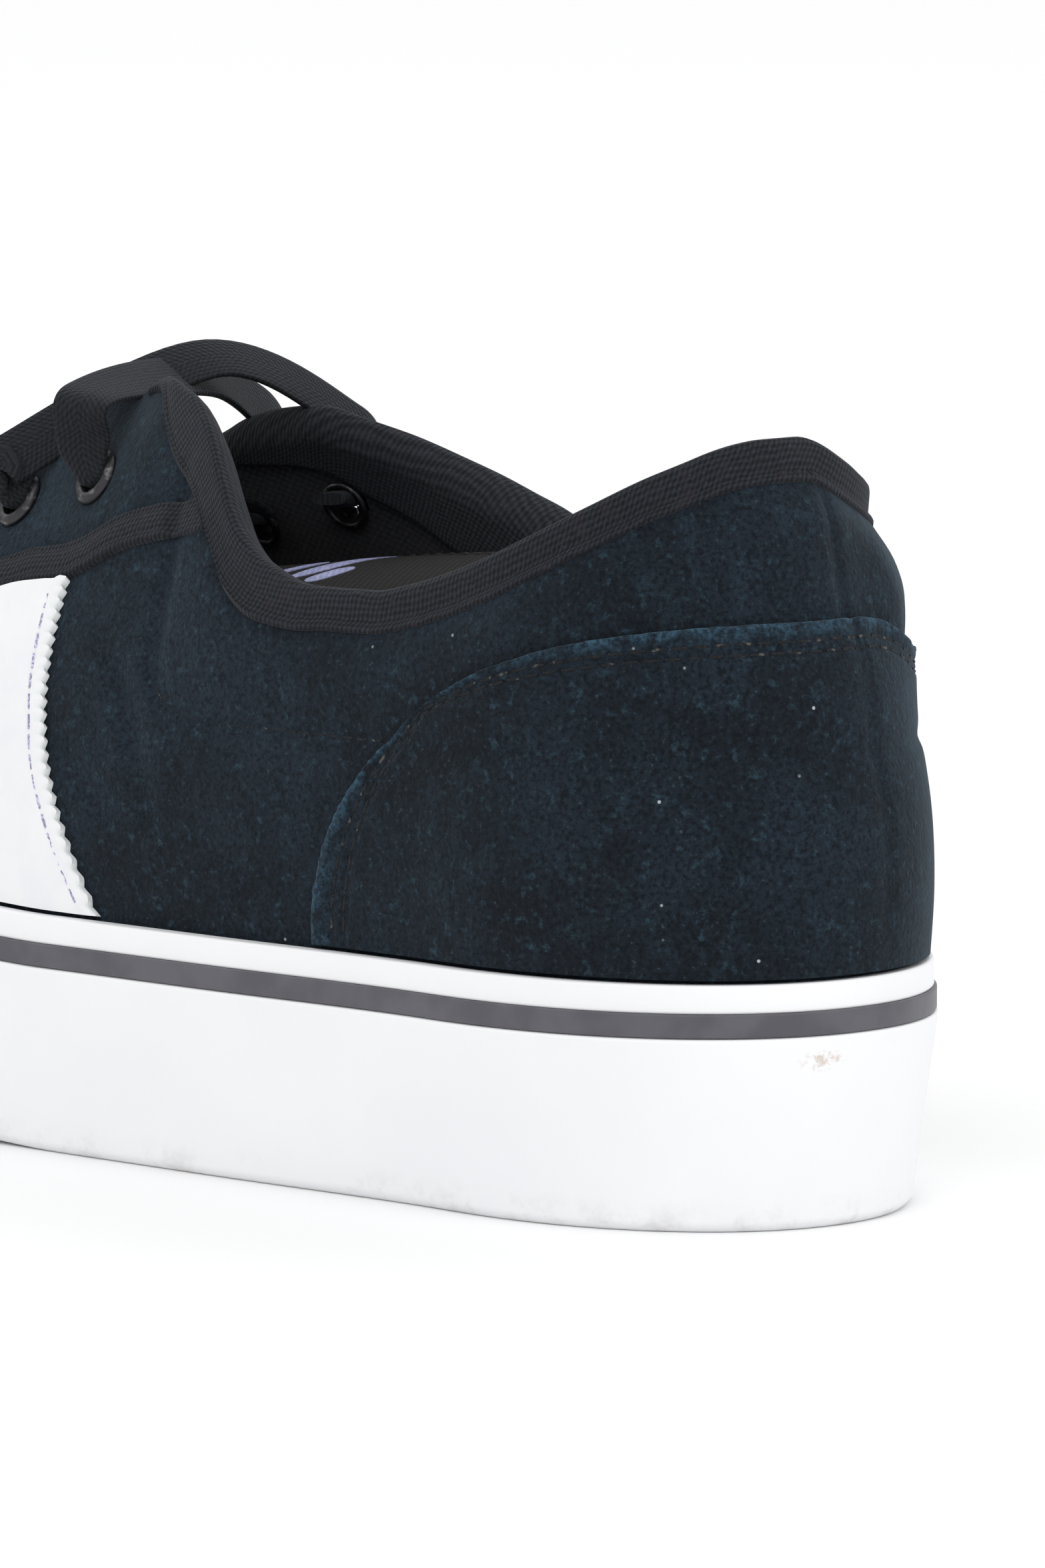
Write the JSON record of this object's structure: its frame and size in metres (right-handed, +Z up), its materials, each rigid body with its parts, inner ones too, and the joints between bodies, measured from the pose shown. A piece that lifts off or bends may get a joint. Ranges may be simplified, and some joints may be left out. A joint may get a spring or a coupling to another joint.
{
  "type": "skateboarding shoe",
  "caption": "Left low-top skateboarding shoe in navy suede with a padded open collar, flat woven lace, plain side panel and a striped white rubber cupsole.",
  "frame": {"origin": "on the floor, under the middle of the shoe's box", "axes": "+X to the toe, +Y to the outer (lateral) side of the left foot, +Z up"},
  "size_m": [0.292, 0.1038, 0.1111],
  "materials": {
    "navy_suede": "navy-black suede with a fine nap",
    "white_rubber": "cool white moulded rubber, satin",
    "dark_rubber": "dark grey line, satin",
    "white_leather": "plain smooth white leather",
    "black_tape": "ribbed black tape",
    "brown_black_twill": "coarse brown-black twill",
    "dark_metal": "dark grey metal",
    "black_cord": "flat woven black lace"
  },
  "bodies": {
    "root": {"outsole": "white_rubber", "side_band": "white_rubber", "side_stripe": "dark_rubber", "insole": "brown_black_twill", "upper": "navy_suede", "heel_counter": "navy_suede", "side_panel_outer": "white_leather", "side_panel_inner": "white_leather", "eyestay_tape_outer": "black_tape", "eyestay_tape_inner": "black_tape", "collar_binding": "black_tape", "tongue": "brown_black_twill", "lace_crossing_1": "black_cord", "lace_crossing_2": "black_cord", "lace_bar": "black_cord", "eyelet_outer_1": "dark_metal", "eyelet_inner_1": "dark_metal", "eyelet_outer_2": "dark_metal", "eyelet_inner_2": "dark_metal", "eyelet_outer_3": "dark_metal", "eyelet_inner_3": "dark_metal", "eyelet_outer_4": "dark_metal", "eyelet_inner_4": "dark_metal", "eyelet_outer_5": "dark_metal", "eyelet_inner_5": "dark_metal"}
  },
  "joints": []
}
